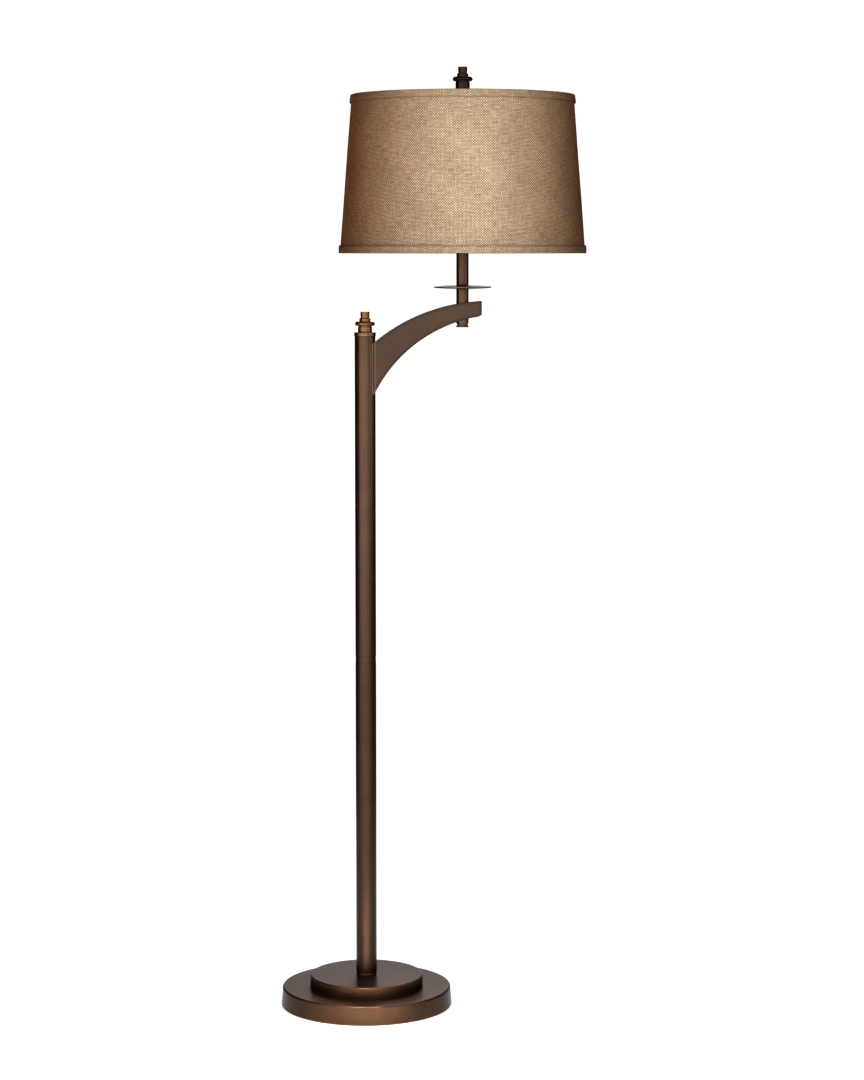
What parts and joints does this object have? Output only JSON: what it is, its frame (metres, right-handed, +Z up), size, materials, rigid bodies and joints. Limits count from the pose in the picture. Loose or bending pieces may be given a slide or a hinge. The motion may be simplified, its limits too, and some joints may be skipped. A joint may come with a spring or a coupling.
{
  "type": "floor lamp",
  "caption": "Bridge floor lamp: round stepped base, straight pole, arched side arm and a tapered drum shade on a harp above a drip disc.",
  "frame": {"origin": "centre of the base's felt face, on the floor", "axes": "+Z up along the pole, +X along the arm, the knob faces -Y"},
  "size_m": [0.4946, 0.3968, 1.5241],
  "materials": {
    "bronze": "dark oil-rubbed bronze lacquer, satin, with copper-brown highlights",
    "gold_bronze": "antique gold lacquer, satin",
    "plain_steel": "zinc-plated steel",
    "cast_weight": "rough cast iron",
    "felt": "black felt",
    "black_plastic": "black phenolic",
    "socket_brass": "polished brass sheet",
    "fibre_liner": "brown fibre board",
    "bulb_metal": "plated screw cap",
    "frosted_glass": "frosted glass",
    "shade_backing": "off-white styrene backing",
    "burlap": "natural burlap, coarse plain weave with slubs",
    "burlap_trim": "folded burlap tape, a little darker"
  },
  "bodies": {
    "stand": {"base_felt": "felt", "base_shell": "bronze", "base_weight": "cast_weight", "base_step": "bronze", "step_spacer": "plain_steel", "base_washer": "plain_steel", "base_nut": "plain_steel", "base_nipple": "plain_steel", "cord_bushing": "black_plastic", "pole_foot_ring": "bronze", "pole_foot_plug": "plain_steel", "lower_pole": "bronze", "pole_coupler": "bronze", "upper_pole": "bronze", "pole_cap": "bronze", "pole_finial": "bronze", "pole_finial_stud": "plain_steel", "bridge_arm": "bronze", "lower_sleeve": "bronze", "drip_disc": "gold_bronze", "upper_sleeve": "bronze", "arm_collar": "bronze", "post_nut": "bronze", "post_pipe": "plain_steel", "check_ring": "bronze", "harp_saddle": "bronze", "socket_cap": "socket_brass", "socket_shell": "socket_brass", "socket_liner": "fibre_liner", "switch_body": "black_plastic", "centre_contact": "socket_brass", "screw_shell": "socket_brass"},
    "knob": {"switch_knob": "black_plastic"},
    "bulb": {"bulb_cap": "bulb_metal", "bulb_glass": "frosted_glass"},
    "harp": {"harp_hoop": "bronze", "harp_stud": "bronze"},
    "left_sleeve": {"harp_sleeve_left": "bronze"},
    "right_sleeve": {"harp_sleeve_right": "bronze"},
    "shade": {"spider_fitter": "plain_steel", "shade_top_ring": "plain_steel", "shade_bottom_ring": "plain_steel", "shade_liner": "shade_backing", "shade_cover": "burlap", "shade_top_trim": "burlap_trim", "shade_bottom_trim": "burlap_trim"},
    "finial": {"shade_finial": "bronze"}
  },
  "joints": [
    {"name": "knob_turn", "type": "hinge", "parent": "stand", "child": "knob", "pos_m": [0.1565, -0.03, 1.29016], "axis": [0, -1, 0], "continuous": true},
    {"name": "bulb_turn", "type": "hinge", "parent": "stand", "child": "bulb", "pos_m": [0.1565, 0, 1.33], "axis": [0, 0, 1], "continuous": true},
    {"name": "harp_lift", "type": "slide", "parent": "stand", "child": "harp", "axis": [0, 0, 1], "range_m": [0, 0.03]},
    {"name": "left_sleeve_lift", "type": "slide", "parent": "harp", "child": "left_sleeve", "axis": [0, 0, 1], "range_m": [0, 0.014]},
    {"name": "right_sleeve_lift", "type": "slide", "parent": "harp", "child": "right_sleeve", "axis": [0, 0, 1], "range_m": [0, 0.014]},
    {"name": "shade_lift", "type": "slide", "parent": "harp", "child": "shade", "axis": [0, 0, 1], "range_m": [0, 0.28]},
    {"name": "finial_turn", "type": "hinge", "parent": "shade", "child": "finial", "pos_m": [0.1565, 0, 1.5], "axis": [0, 0, 1], "continuous": true}
  ]
}
